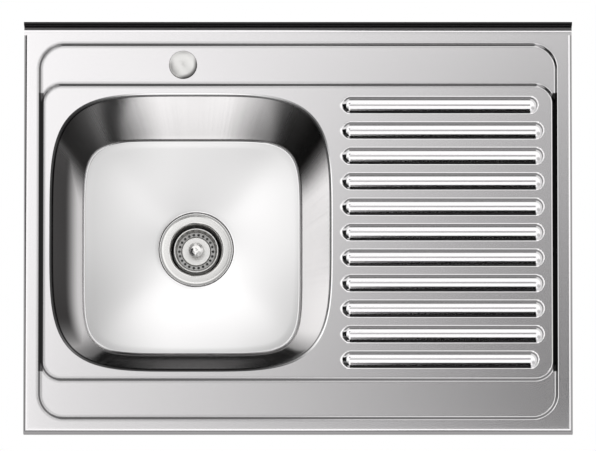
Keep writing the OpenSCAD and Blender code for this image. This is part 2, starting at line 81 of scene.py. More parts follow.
def half_width(node):
    """Half of the width of a node of the frame, in millimetres"""
    return (high_corner(node) - low_corner(node))[0] / 2


PLATE_LOW = low_corner("deck")
PLATE_HIGH = high_corner("deck")
BOWL = middle("bowl")[:2]
WASTE = middle("strainer_flange")
TAP = middle("tap_hole_cap")

BOWL_POINTS = 288  # points round the bowl
EDGE_LAND = 4.0  # flat sheet between the plate's grid and its folds
STEP_LAND = 7.5  # how far the fine grid of a pressed step reaches inwards
SCREW_HOLE = 3.3  # radius of the clamp screw's holes
POST_BORE = 2.55  # radius of the bores on the basket's post


def linear(code):
    """Linear red, green and blue of an sRGB colour such as #C8C7C5"""
    parts = np.array([int(code[i : i + 2], 16) for i in (1, 3, 5)]) / 255
    return tuple(np.where(parts <= 0.04045, parts / 12.92, ((parts + 0.055) / 1.055) ** 2.4))


def number(name, description, value, **kind):
    """Property that holds a number"""
    return FloatProperty(name=name, description=description, default=value, **kind)


def length(name, description, millimetres):
    """Property that holds a length"""
    return number(name, description, millimetres * MM, min=0.0, unit="LENGTH", subtype="DISTANCE")


def how_many(name, description, value, least):
    """Property that holds a number of like things"""
    return IntProperty(name=name, description=description, default=value, min=least)


def colour(name, description, code):
    """Property that holds a colour"""
    limits = {"default": linear(code), "min": 0.0, "max": 1.0}
    return FloatVectorProperty(name=name, description=description, size=3, subtype="COLOR", **limits)


class PlateSettings(PropertyGroup):
    """Sizes of the pressed plate"""

    sheet: length("Sheet", "Thickness of the steel", 0.8)
    rim: length("Rim height", "Height of the rim over the worktop", 30)
    lip: length("Seat lip", "Width of the lip that lies on the worktop", 17)
    edge: length("Edge radius", "Radius of the folded edge", 5)
    rim_side: length("Side rim", "Width of the rim at the sides", 21)
    rim_front: length("Front rim", "Width of the rim at the front", 19)
    rim_rear: length("Rear rim", "Width of the rim at the rear, with the upstand", 27)
    panel_corner: length("Panel corner", "Corner radius of the sunk panel", 38)
    work_corner: length("Work area corner", "Corner radius of the sunk work area", 30)
    ledge_front: length("Front ledge", "Width of the front ledge", 53)
    ledge_rear: length("Rear ledge", "Width of the rear ledge", 55)
    drop: length("Step height", "Drop of each pressed step", 3)
    run: length("Step run", "Width of each pressed step", 4)
    blend: length("Step blend", "Half of the width over which a step turns", 1.0)
    upstand_sheet: length("Upstand thickness", "Thickness of the folded upstand", 4)
    upstand_foot: length("Upstand foot", "Radius at the foot of the upstand", 7)
    tap_hole: length("Tap hole", "Radius of the hole under the cap", 17.5)


class RibSettings(PropertyGroup):
    """Sizes of the drainer's ribs"""

    count: how_many("Ribs", "Number of drainer ribs", 11, 1)
    pitch: length("Pitch", "Distance from one rib to the next", 37.5)
    width: length("Width", "Width of a rib", 24.5)
    height: length("Height", "Height of a rib", 4.5)
    nose: length("Nose", "Length of the pointed nose at the bowl's side", 10)
    left: length("Left end", "Place of the noses, right of the middle", 63)
    right: length("Right end", "Place of the far ends, right of the middle", 358.5)
    short: length("Outer ribs", "How much shorter the first and last ribs are", 8)
    foot: length("Foot blend", "Half height of the blend at a rib's foot", 0.9)


class BowlSettings(PropertyGroup):
    """Sizes of the drawn bowl"""

    width: length("Width", "Width of the bowl's opening", 406)
    depth_plan: length("Front to rear", "Size of the bowl's opening from front to rear", 403)
    depth: length("Depth", "Depth of the bowl under the work area", 160)
    run: length("Wall run", "How far the wall comes in from the opening to the floor", 43)
    roll: length("Roll", "Radius between the plate and the wall", 5)
    floor_radius: length("Floor radius", "Radius between the wall and the floor", 4)
    fall: length("Floor fall", "Fall of the floor towards the waste", 3)
    recess: length("Recess", "Radius of the recess for the waste", 54)
    recess_depth: length("Recess depth", "Depth of the recess for the waste", 3)
    hole: length("Waste hole", "Radius of the hole for the waste", 45)
    flange: length("Weld flange", "Width of the flange under the plate", 8)
    rim_square: number("Rim squareness", "Power of the opening's outline", 4.2)
    floor_square: number("Floor squareness", "Power of the floor's outline", 6.0)


class WasteSettings(PropertyGroup):
    """Sizes of the strainer waste, from its own middle"""

    sheet: length("Sheet", "Thickness of the cup and the basket", 0.8)
    flange: length("Flange", "Radius of the flange", 53)
    mouth: length("Mouth", "Radius of the cup at its mouth", 38)
    cup_floor: length("Cup floor", "Radius of the cup at its floor", 36)
    cup_depth: length("Cup depth", "Depth of the cup", 32)
    drain_ring: length("Drain ring", "Radius of the ring of drain holes", 11)
    drain_hole: length("Drain hole", "Radius of a drain hole", 3.5)
    drain_holes: how_many("Drain holes", "Number of drain holes", 6, 3)
    basket_holes: how_many("Basket holes", "Number of basket holes", 22, 6)
    basket_hole: length("Basket hole", "Radius of a basket hole", 2.0)
    thread_pitch: length("Thread pitch", "Pitch of the outlet's thread", 2.309)
    thread_depth: length("Thread depth", "Depth of the outlet's thread", 1.2)


class FinishSettings(PropertyGroup):
    """Colours of the finishes, each named like the function that makes its material"""

    pressed_stainless: colour("Pressed stainless", "Plate and edge", "#E7E5E6")
    drawn_stainless: colour("Drawn stainless", "Bowl", "#F3F2F2")
    bright_stainless: colour("Bright stainless", "Waste, basket and knob", "#E4E3E1")
    brushed_stainless: colour("Brushed stainless", "Tap hole cap", "#DEDDDB")
    zinc_plate: colour("Zinc plate", "Clips, tag and fasteners", "#B9BCC0")
    turned_brass: colour("Brass", "Threaded insert", "#C7A25A")
    moulded_plastic: colour("Polypropylene", "Waste body", "#D4D5D3")
    black_rubber: colour("Rubber", "Gaskets, seal and stopper", "#2B2B2C")
    damping_pad: colour("Damping pad", "Pads under the bowl and the drainer", "#4A4A4B")


class StudioSettings(PropertyGroup):
    """Camera and light"""

    elevation: number("Elevation", "Camera's angle above the plate", math.radians(82), subtype="ANGLE")
    distance: number("Distance", "Camera's distance", 18.0, unit="LENGTH")
    view_width: number("View width", "Width seen at the aim", 0.8693, unit="LENGTH")
    card_height: number("Card height", "Height of the overhead card", 3.5, unit="LENGTH")


def setting(group):
    """The scene's settings of one group, such as plate"""
    return getattr(bpy.context.scene, "sink_" + group)


def in_mm(group):
    """The values of one group of settings, with its lengths in millimetres"""
    settings = setting(group)
    values = {}
    for name in settings.__annotations__:
        unit_size = MM if settings.bl_rna.properties[name].subtype == "DISTANCE" else 1
        values[name] = getattr(settings, name) / unit_size
    return SimpleNamespace(**values)


def grid_lines(*stretches):
    """Places of grid lines: every stretch (from, to, gap) is divided evenly, by at most its gap"""
    divided = [np.linspace(a, b, max(2, math.ceil((b - a) / gap - 1e-6) + 1)) for a, b, gap in stretches]
    return np.unique(np.round(np.concatenate(divided), 4))


def ramp(distance, blend):
    """Nothing before zero and the distance after it, joined by a parabola over the blend on either side"""
    joined = (distance + blend) ** 2 / (4 * blend)
    return np.where(distance < -blend, 0.0, np.where(distance > blend, distance, joined))


def inside(x, y, box, radius):
    """Distance inside a rectangle (left, front, right, rear) whose corners are round: the radius less the
    distance to the rectangle that the corners' centres span"""
    across = np.abs(x - (box[0] + box[2]) / 2) - (box[2] - box[0]) / 2 + radius
    along = np.abs(y - (box[1] + box[3]) / 2) - (box[3] - box[1]) / 2 + radius
    beyond = np.hypot(np.maximum(across, 0), np.maximum(along, 0))
    return radius - beyond - np.minimum(np.maximum(across, along), 0)


def unit(vectors):
    """The same directions at length 1"""
    return vectors / np.linalg.norm(vectors, axis=-1, keepdims=True)


def spun(x, y, angle):
    """Points (x, y) turned anticlockwise by an angle"""
    cos, sin = np.cos(angle), np.sin(angle)
    return np.stack([x * cos - y * sin, x * sin + y * cos], axis=-1)


def turns(count):
    """Angles that divide a whole turn evenly"""
    return np.arange(count) * 2 * np.pi / count


def raised(plan, height):
    """Points over a plan (x, y), at a height each"""
    points = np.empty(np.broadcast_shapes(plan.shape[:-1], np.shape(height)) + (3,))
    points[..., :2] = plan
    points[..., 2] = height
    return points


def columns(*values):
    """Table with one column for each value, where a single number fills its column"""
    return np.column_stack(np.broadcast_arrays(*values))


def woven(points, wrap_rows=False, wrap_columns=False, keep=None, flip=False):
    """Part whose points lie in rows and columns, with one four-sided face in every cell that is kept"""
    rows, across = points.shape[:2]
    number = np.arange(rows * across).reshape(rows, across)
    if wrap_rows:
        number = np.vstack([number, number[:1]])
    if wrap_columns:
        number = np.hstack([number, number[:, :1]])
    quads = np.stack([number[:-1, :-1], number[:-1, 1:], number[1:, 1:], number[1:, :-1]], axis=-1)
    quads = quads[keep] if keep is not None else quads.reshape(-1, 4)
    return points.reshape(-1, 3), [quads[:, ::-1] if flip else quads]


def bar(points):
    """Part: bar through rings of points, with a face over its first and its last ring"""
    places, faces = woven(points, wrap_columns=True)
    end = np.arange(points.shape[1])[None]
    return places, faces + [end, len(places) - end.size + end[:, ::-1]]


def rounded_path(corners, closed=False, turn=7.5):
    """Path (n, 2) through corners (across, up, radius): a corner with a radius is cut back by
    radius / tan(half its angle) on both sides and joined by an arc, in steps of at most turn degrees"""
    places = np.array([corner[:2] for corner in corners], float)
    path = []
    for i, corner in enumerate(corners):
        radius = corner[2] if len(corner) > 2 else 0
        if radius == 0 or (not closed and i in (0, len(corners) - 1)):
            path.append(places[i][None])
            continue
        back = unit(places[i - 1] - places[i])
        on = unit(places[(i + 1) % len(corners)] - places[i])
        half = math.acos(np.clip(back @ on, -1, 1)) / 2
        centre = places[i] + unit(back + on) * radius / math.sin(half)
        arm = places[i] + back * radius / math.tan(half) - centre
        sweep = math.pi - 2 * half
        side = np.sign(on[0] * back[1] - on[1] * back[0])
        angles = side * np.linspace(0, sweep, max(2, math.ceil(math.degrees(sweep) / turn)) + 1)
        path.append(centre + spun(arm[0], arm[1], angles))
    return np.concatenate(path)


def moved_path(path, distance):
    """The path moved to its left by a distance, with mitred corners"""
    step = unit(np.diff(path, axis=0))
    before = np.vstack([step[:1], step])
    after = np.vstack([step, step[-1:]])
    side = unit(np.stack([-(before + after)[:, 1], (before + after)[:, 0]], axis=-1))
    reach = distance / (side[:, 0] * -after[:, 1] + side[:, 1] * after[:, 0])
    return path + side * reach[:, None]


def sheet_section(path, thickness):
    """Closed section of a sheet: the path, then the same path moved to its left, backwards"""
    return np.concatenate([path, moved_path(path, thickness)[::-1]])


def revolved(profile, steps=96, wrap=True, centre=WASTE[:2]):
    """Part made by turning a profile of (radius, height): x = radius cos(a), y = radius sin(a)"""
    plan = centre + spun(profile[:, :1], 0, turns(steps))
    return woven(raised(plan, profile[:, 1:]), wrap_rows=wrap, wrap_columns=True)


def pierced_ring(inner, outer, top, sheet, count, hole, across, along):
    """Parts: flat ring of sheet about the waste's middle, with a circle of round holes. Each hole has a cell
    of the ring, and the cell's edge is drawn straight in to it: point = hole's rim (1 - s) + cell's edge s"""
    half = np.pi / count
    sweep = np.linspace(-half, half, across + 1)
    reach = np.linspace(inner, outer, along + 1)
    radius = np.concatenate([np.full(across, inner), reach[:-1], np.full(across, outer), reach[:0:-1]])
    angle = np.concatenate([sweep[:-1], np.full(along, half), sweep[:0:-1], np.full(along, -half)])
    edge = spun(radius, 0, angle)
    centre = np.array([(inner + outer) / 2, 0.0])
    rim = centre + hole * unit(edge - centre)
    share = np.array([1.0, 0.6, 0.25, 0.0, 0.0, 0.25, 0.6, 1.0])[:, None, None]
    cell = rim * (1 - share) + edge * share
    height = np.repeat([top, top - sheet], 4)[:, None]
    plans = [WASTE[:2] + spun(cell[..., 0], cell[..., 1], turn) for turn in turns(count)]
    return [woven(raised(plan, height), wrap_columns=True) for plan in plans]


def flat_patch(outer, inner, height, flip=False):
    """Part: flat sheet between an outer and an inner ring of points, divided into triangles. The inner
    ring is convex, so a triangle with all its corners on it lies in the hole and is left out"""
    places = [Vector(place) for place in np.concatenate([outer, inner]).tolist()]
    edges = []
    for first, count in ((0, len(outer)), (len(outer), len(inner))):
        edges += [(first + i, first + (i + 1) % count) for i in range(count)]
    found = delaunay_2d_cdt(places, edges, [], 1, 1e-7)
    source = np.array([numbers[0] for numbers in found[3]])
    faces = np.array(found[2])
    faces = faces[(source[faces] < len(outer)).any(axis=1)]
    points = raised(np.array([tuple(place) for place in found[0]]), height)
    return points, [faces[:, ::-1] if flip else faces]


def join_parts(name, parts):
    """Mesh of several parts: equal points are merged, and closed shells get their faces turned outwards"""
    points = np.concatenate([part[0] for part in parts]) * MM
    corners, counts, first = [], [], 0
    for places, sets in parts:
        for faces in sets:
            corners.append((faces + first).ravel())
            counts.append(np.full(len(faces), faces.shape[1]))
        first += len(places)
    corners = np.concatenate(corners)
    starts = np.concatenate([[0], np.cumsum(np.concatenate(counts))[:-1]])
    mesh = bpy.data.meshes.new(name)
    for items, kind, values in (
        (mesh.vertices, "co", points.astype(np.float32)),
        (mesh.loops, "vertex_index", corners.astype(np.int32)),
        (mesh.polygons, "loop_start", starts.astype(np.int32)),
    ):
        items.add(len(values))
        items.foreach_set(kind, values.ravel())
    mesh.update(calc_edges=True)
    work = bmesh.new()
    work.from_mesh(mesh)
    bmesh.ops.remove_doubles(work, verts=work.verts, dist=2e-6)
    bmesh.ops.delete(work, geom=[edge for edge in work.edges if not edge.link_faces], context="EDGES")
    bmesh.ops.recalc_face_normals(work, faces=work.faces)
    work.to_mesh(mesh)
    work.free()
    return mesh


def new_piece(name, parts, body, replaced, material, sharp=40, even=True):
    """Piece made of parts: it is smooth but for edges sharper than so many degrees, and flat stretches keep
    flat shading beside their rounded edges"""
    mesh = join_parts(name, parts)
    mesh.shade_smooth()
    mesh.set_sharp_from_angle(angle=math.radians(sharp))
    mesh.materials.append(material)
    piece = bpy.data.objects.new(name, mesh)
    bpy.context.scene.collection.objects.link(piece)
    if even:
        weighted = piece.modifiers.new("Flat stretches stay flat", "WEIGHTED_NORMAL")
        weighted.mode = "FACE_AREA"
        weighted.keep_sharp = True
    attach(piece, body)
    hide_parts(replaced)
    return piece


def fill(node, inputs):
    """Sets a node's inputs, or links them to outputs of other nodes"""
    for name, value in inputs.items():
        if isinstance(value, bpy.types.NodeSocket):
            node.id_data.links.new(value, node.inputs[name])
        else:
            node.inputs[name].default_value = value
    return node


def add(kind, *values, give=0, tree=None, **settings):
    """Adds a node with its settings, sets or links its inputs in their order or by a dictionary, and gives
    one of its outputs. Where no tree is named, it goes to the tree of what it is linked to"""
    inputs = values[0] if values and isinstance(values[0], dict) else dict(enumerate(values))
    linked = (value for value in inputs.values() if isinstance(value, bpy.types.NodeSocket))
    node = (tree or next(linked).id_data).nodes.new("ShaderNode" + kind)
    for name, value in settings.items():
        setattr(node, name, value)
    return fill(node, inputs).outputs[give]


def product(first, *others):
    """Product of numbers or node outputs"""
    for other in others:
        first = add("Math", first, other, operation="MULTIPLY")
    return first


def fade(value, start, end):
    """Soft step: 0 up to the start and 1 from the end on, whichever of them is larger"""
    return add("MapRange", value, start, end, interpolation_type="SMOOTHSTEP")


def window(value, start, full, still, end):
    """Soft window: 0 up to the start and from the end on, 1 from full to still"""
    return product(fade(value, start, full), fade(value, end, still))


def darken(level, depth, *shares):
    """A level times 1 less the depth times every share"""
    return product(level, add("Math", 1.0, product(depth, *shares), operation="SUBTRACT"))


def flat_distance(place, centre):
    """Distance from the upright line through a centre"""
    off = add("VectorMath", place, tuple(centre), operation="SUBTRACT")
    flat = add("VectorMath", off, (1, 1, 0), operation="MULTIPLY")
    return add("VectorMath", flat, operation="LENGTH", give="Value")


def inside_nodes(x, y, box, radius):
    """The distance of inside(), as nodes"""
    beyond = []
    for value, low, high in ((x, box[0], box[2]), (y, box[1], box[3])):
        off = add("Math", value, (low + high) / 2, operation="SUBTRACT")
        off = add("Math", off, operation="ABSOLUTE")
        beyond.append(add("Math", off, (high - low) / 2 - radius, operation="SUBTRACT"))
    right, up = (add("Math", value, 0.0, operation="MAXIMUM") for value in beyond)
    squares = add("Math", right, right, product(up, up), operation="MULTIPLY_ADD")
    reach = add("Math", squares, operation="SQRT")
    deep = add("Math", add("Math", *beyond, operation="MAXIMUM"), 0.0, operation="MINIMUM")
    return add("Math", radius, add("Math", reach, deep, operation="ADD"), operation="SUBTRACT")


def tinted(base, painted_shade):
    """Surface inputs: the base colour times a tone, also where light grazes the metal"""
    tint = add("VectorMath", {0: base, "Scale": painted_shade}, operation="SCALE")
    return {"Base Color": tint, "Specular Tint": tint}


METAL = {"Metallic": 1.0}


def finish(maker):
    """The material that a function describes, made once. The function gets the place in millimetres
    and the base colour, and gives the surface's inputs; its text starts with the material's name"""
    name = maker.__doc__.split(":")[0]
    material = bpy.data.materials.get(name)
    if material is None:
        material = bpy.data.materials.new(name)
        material.use_nodes = True
        tree = material.node_tree
        base = tuple(getattr(setting("finish"), maker.__name__))
        material.diffuse_color = (*base, 1.0)
        metres = add("TexCoord", tree=tree, give="Object")
        place = add("VectorMath", metres, (1000, 1000, 1000), operation="MULTIPLY")
        fill(tree.nodes["Principled BSDF"], {"Base Color": (*base, 1.0), **maker(place, base)})
    return material


def pressed_stainless(place, base):
    """Pressed stainless, mechanically polished: nearly a mirror, with a faint grain of 1 to 2 mm"""
    plate = in_mm("plate")
    _, panel, work = plate_plan()
    x, y, height = add("SeparateXYZ", place).node.outputs
    # Painted shade darkens the upstand, most of all at its top: the black strip at the rear
    top = PLATE_HIGH[2]
    painted_shade = darken(1.0, 0.72, fade(height, plate.rim + 0.5, plate.rim + 3))
    painted_shade = darken(painted_shade, 0.85, fade(height, top - 3.5, top - 2))
    # Painted shade on the double step at both sides of the work area: black at the right, grey at the left
    _, front, side, rear = work
    aside = add("Math", x, operation="ABSOLUTE")
    across = window(aside, side - 4.2, side - 3, side + 3, side + 4.2)
    along = window(y, front + 13, front + 15, rear - 15, rear - 13)
    painted_shade = darken(painted_shade, 0.97, across, along, fade(x, 0, 1))
    painted_shade = darken(painted_shade, 0.78, across, along, fade(x, 0, -1))
    # Beside each step a soft painted shade, darkest towards the left
    leftward = add("MapRange", fade(x, 250, -250), 0.0, 1.0, 0.35, 1.0)
    for box, corner in ((panel, plate.panel_corner), (work, plate.work_corner)):
        off = add("Math", inside_nodes(x, y, box, corner), plate.run / 2, operation="SUBTRACT")
        off = add("Math", off, operation="ABSOLUTE")
        painted_shade = darken(painted_shade, 0.45, fade(off, 6.5, 1.0), leftward)
    grain = add("TexNoise", {"Vector": place, "Scale": 0.9, "Detail": 3.0, "Roughness": 0.6})
    rough = add("MapRange", grain, 0.0, 1.0, 0.06, 0.14)
    return {**METAL, **tinted(base, painted_shade), "Roughness": rough}


def drawn_stainless(place, base):
    """Deep-drawn stainless, satin finished: the belt leaves fine streaks that run down the walls"""
    plate, bowl = in_mm("plate"), in_mm("bowl")
    floor_z = plate.rim - 2 * plate.drop - bowl.depth
    off = add("VectorMath", place, (*BOWL, 0), operation="SUBTRACT")
    flat = add("VectorMath", off, (1, 1, 0), operation="MULTIPLY")
    way = add("VectorMath", flat, operation="NORMALIZE")
    x, y, z = add("SeparateXYZ", off).node.outputs
    to_right, to_rear, _ = add("SeparateXYZ", way).node.outputs
    aside = add("Math", to_right, operation="ABSOLUTE")
    rise = add("Math", add("Math", z, floor_z, operation="SUBTRACT"), bowl.depth, operation="DIVIDE")
    wall = fade(z, floor_z + 0.3, floor_z + 5.2)
    # Painted shade in the rear corners, on the left wall's upper part and on the front wall, which gives the
    # eye the dark corners of a deep bowl
    corner = product(0.83, wall, window(aside, 0.2, 0.78, 0.79, 0.95), fade(to_rear, 0.1, 0.3))
    left = product(0.75, fade(to_right, -0.6, -0.85), fade(rise, 0.1, 0.6))
    front = product(0.7, fade(to_rear, -0.6, -0.8), fade(rise, 0.0, 0.08))
    darkest = add("Math", add("Math", corner, left, operation="MAXIMUM"), front, operation="MAXIMUM")
    painted_shade = darken(1.0, darkest)
    # Painted shade on the roll on the left and in front: the black line round the bowl
    turned = add("Math", to_rear, 0.6, to_right, operation="MULTIPLY_ADD")
    painted_shade = darken(painted_shade, 0.75, fade(rise, 0.955, 0.985), fade(turned, 0.3, -0.2))
    # The side walls' foot stays matt: the light line round the floor
    foot = window(z, floor_z, floor_z + 0.3, floor_z + 3.8, floor_z + 5.8)
    matt = product(foot, fade(aside, 0.55, 0.75))
    streaks = add("TexNoise", {"Vector": way, "Scale": 60.0, "Detail": 3.0, "Roughness": 0.55})
    rough = 0.06
    for share, depth in ((product(streaks, wall), 0.09), (corner, 0.25), (matt, 0.4)):
        rough = add("Math", share, depth, rough, operation="MULTIPLY_ADD")
    # Painted shade on the floor towards its sides, front and rear: it is brightest round its middle
    raised_parts = add("Math", wall, matt, operation="MAXIMUM")
    floor = add("Math", 1.0, raised_parts, operation="SUBTRACT")
    painted_shade = darken(painted_shade, 0.42, floor, fade(x, -20, -190))
    painted_shade = darken(painted_shade, 0.22, floor, fade(x, 50, 200))
    painted_shade = darken(painted_shade, 0.15, floor, fade(add("Math", y, operation="ABSOLUTE"), 80, 170))
    return {**METAL, **tinted(base, painted_shade), "Roughness": rough}


def bright_stainless(place, base):
    """Polished stainless of the cup, basket and knob: a mirror with faint marks of the buffing, 2 mm wide"""
    away = flat_distance(place, WASTE)
    _, _, height = add("SeparateXYZ", place).node.outputs
    under = add("Math", high_corner("strainer_flange")[2], height, operation="SUBTRACT")
    marks = add("TexNoise", {"Vector": place, "Scale": 0.5, "Detail": 2.0})
    rough = add("MapRange", marks, 0.0, 1.0, 0.1, 0.2)
    rough = add("Math", fade(under, 1, 4), 0.2, rough, operation="MULTIPLY_ADD")
    # Painted shade on the flange's edge, the basket's ring of holes and the cup's floor, which gives the eye
    # the dark rings of the waste
    painted_shade = darken(1.0, 0.62, fade(away, 49.5, 51.5))
    painted_shade = darken(painted_shade, 0.5, window(away, 20.5, 22, 27.5, 29))
    painted_shade = darken(painted_shade, 0.6, fade(under, 27, 29))
    return {**METAL, **tinted(base, painted_shade), "Roughness": rough}


def brushed_stainless(place, base):
    """Brushed stainless of the cap: satin, with fine parallel lines drawn as coarse as 1 mm"""
    stretched = add("VectorMath", place, (0.1, 2.0, 1.0), operation="MULTIPLY")
    lines = add("TexNoise", {"Vector": stretched, "Scale": 0.6, "Detail": 2.0})
    # Painted shade darkens the cap's edge at its front right
    off = add("VectorMath", place, tuple(TAP), operation="SUBTRACT")
    front_right = add("VectorMath", off, (0.75, -0.66, 0), operation="DOT_PRODUCT", give="Value")
    edge = product(fade(flat_distance(place, TAP), 14, 19.5), fade(front_right, 3, 15))
    painted_shade = darken(1.0, 0.8, edge)
    return {**METAL, **tinted(base, painted_shade), "Roughness": add("MapRange", lines, 0.0, 1.0, 0.26, 0.42)}


def zinc_plate(place, base):
    """Zinc-plated mild steel: grey and half bright, with a cloudy mottle of a few millimetres"""
    mottle = add("TexNoise", {"Vector": place, "Scale": 0.25, "Detail": 4.0, "Roughness": 0.6})
    ends = {"Factor": mottle, 6: (*[0.75 * part for part in base], 1), 7: (*base, 1)}
    cloudy = add("Mix", ends, data_type="RGBA", give=2)
    return {**METAL, "Base Color": cloudy, "Roughness": add("MapRange", mottle, 0.0, 1.0, 0.25, 0.5)}


def turned_brass(place, base):
    """Turned brass: rings of the tool round the bore, drawn as coarse as 0.8 mm"""
    rings = add("TexWave", {"Vector": place, "Scale": 0.4}, bands_direction="Z", give="Fac")
    bump = add("Bump", {"Height": rings, "Strength": 0.2, "Distance": 0.0001})
    return {**METAL, "Roughness": 0.25, "Normal": bump}


def moulded_plastic(place, base):
    """Injection-moulded polypropylene: pale grey, slightly waxy, with a spark-eroded grain of 0.5 mm"""
    grain = add("TexNoise", {"Vector": place, "Scale": 2.0, "Detail": 2.0})
    bump = add("Bump", {"Height": grain, "Strength": 0.25, "Distance": 0.0002})
    return {"Roughness": 0.42, "IOR": 1.49, "Normal": bump}


def black_rubber(place, base):
    """EPDM rubber: black and dull, with a faint bloom"""
    bloom = add("TexNoise", {"Vector": place, "Scale": 0.3, "Detail": 5.0})
    return {"Roughness": add("MapRange", bloom, 0.0, 1.0, 0.55, 0.8)}


def damping_pad(place, base):
    """Bitumen damping sheet: dark grey, pressed with a coarse pebble of 3 mm"""
    pebble = add("TexVoronoi", {"Vector": place, "Scale": 0.33}, give="Distance")
    bump = add("Bump", {"Height": pebble, "Strength": 0.6, "Distance": 0.0008})
    return {"Roughness": 0.85, "Normal": bump}


def bowl_outline(angles, inset):
    """Points round the bowl: a superellipse whose half sizes are smaller by the inset, and whose power
    grows with the inset from the opening's squareness to the floor's"""
    bowl = in_mm("bowl")
    power = bowl.rim_square + (bowl.floor_square - bowl.rim_square) * np.clip(inset / bowl.run, 0, 1)
    across = (np.abs(np.cos(angles)) / (bowl.width / 2 - inset)) ** power
    along = (np.abs(np.sin(angles)) / (bowl.depth_plan / 2 - inset)) ** power
    return spun((across + along) ** (-1 / power), 0, angles)


def bowl_angles():
    """Directions round the bowl, crowded towards its corners"""
    even = turns(BOWL_POINTS)
    return even + math.radians(7) * np.sin(4 * even)


def bowl_mouth():
    """Ring of points where the plate rolls into the bowl, and its inset from the opening"""
    bowl = in_mm("bowl")
    lean = math.atan(bowl.run / bowl.depth)
    start = -bowl.roll * math.tan((math.pi / 2 - lean) / 2)
    return BOWL + bowl_outline(bowl_angles(), start), start


def plate_plan():
    """Boxes (left, front, right, rear) of the plate: its grid, which ends short of the folds, and the upper
    outlines of the panel and of the work area"""
    plate = in_mm("plate")
    left, front = PLATE_LOW[:2]
    right, rear = PLATE_HIGH[:2]
    fold = plate.edge + EDGE_LAND
    upstand = plate.upstand_sheet + plate.upstand_foot + EDGE_LAND
    grid = [left + fold, front + fold, right - fold, rear - upstand]
    side, run = plate.rim_side, plate.run
    panel = [left + side, front + plate.rim_front, right - side, rear - plate.rim_rear]
    ledge_front, ledge_rear = run + plate.ledge_front, run + plate.ledge_rear
    work = [panel[0] + run, panel[1] + ledge_front, panel[2] - run, panel[3] - ledge_rear]
    return grid, panel, work


def rib_rise(x, y, rib_middle):
    """Height of the ribs over the plate. A rib is the top of a bar that lies along X: its radius shrinks
    evenly over the nose, and a ball ends it. height = sqrt(radius^2 - across^2 - beyond^2) - cut"""
    rib = in_mm("rib")
    full = (rib.width**2 / 4 + rib.height**2) / (2 * rib.height)
    last = (rib.count - 1) / 2
    nearest = np.clip(np.round((y - rib_middle) / rib.pitch + last), 0, rib.count - 1) - last
    end = rib.right - np.where(np.abs(nearest) == last, rib.short, 0)
    radius = np.maximum(full - rib.height / rib.nose * ramp(rib.left + rib.nose - x, 3.0), 0)
    across = y - rib_middle - nearest * rib.pitch
    beyond = np.maximum(x - end + rib.width / 2, 0)
    top = np.sqrt(np.maximum(radius**2 - across**2 - beyond**2, 0))
    return ramp(top - full + rib.height, rib.foot)


def plate_height(x, y):
    """Height of the pressed plate: the rim, less each step's drop over its run, and the ribs on top"""
    plate = in_mm("plate")
    _, panel, work = plate_plan()
    height = np.full(np.broadcast(x, y).shape, plate.rim)
    for box, corner in ((panel, plate.panel_corner), (work, plate.work_corner)):
        distance = inside(x, y, box, corner)
        fallen = ramp(distance, plate.blend) - ramp(distance - plate.run, plate.blend)
        height = height - plate.drop * fallen / plate.run
    return height + rib_rise(x, y, (work[1] + work[3]) / 2)


def plate_normal(x, y):
    """Direction square to the pressed plate, from its slopes along X and Y"""
    small = 0.02
    slope_x = (plate_height(x + small, y) - plate_height(x - small, y)) / (2 * small)
    slope_y = (plate_height(x, y + small) - plate_height(x, y - small)) / (2 * small)
    return unit(columns(-slope_x, -slope_y, 1.0))


def grid_ring(xs, ys, corners):
    """Grid points in order along the sides of a shape whose corners lie on grid lines"""
    ring = []
    for (x0, y0), (x1, y1) in zip(corners, corners[1:] + corners[:1]):
        x = xs[(xs >= min(x0, x1) - 1e-3) & (xs <= max(x0, x1) + 1e-3)]
        y = ys[(ys >= min(y0, y1) - 1e-3) & (ys <= max(y0, y1) + 1e-3)]
        side = columns(x, y)
        ring.append((side if (x1, y1) > (x0, y0) else side[::-1])[:-1])
    return np.concatenate(ring)


def box_corners(box):
    """Corners of a box (left, front, right, rear), anticlockwise"""
    return [(box[0], box[1]), (box[2], box[1]), (box[2], box[3]), (box[0], box[3])]


def cross_corners(wide, tall):
    """Corners of the cross that two boxes (left, front, right, rear) make, anticlockwise"""
    return [
        (tall[0], tall[1]), (tall[2], tall[1]), (tall[2], wide[1]), (wide[2], wide[1]),
        (wide[2], wide[3]), (tall[2], wide[3]), (tall[2], tall[3]), (tall[0], tall[3]),
        (tall[0], wide[3]), (wide[0], wide[3]), (wide[0], wide[1]), (tall[0], wide[1]),
    ]


def read(items, name, kind=np.float32, width=1):
    """One value, or a few, of every item of a mesh"""
    values = np.empty(len(items) * width, kind)
    items.foreach_get(name, values)
    return values.reshape(-1, width) if width > 1 else values


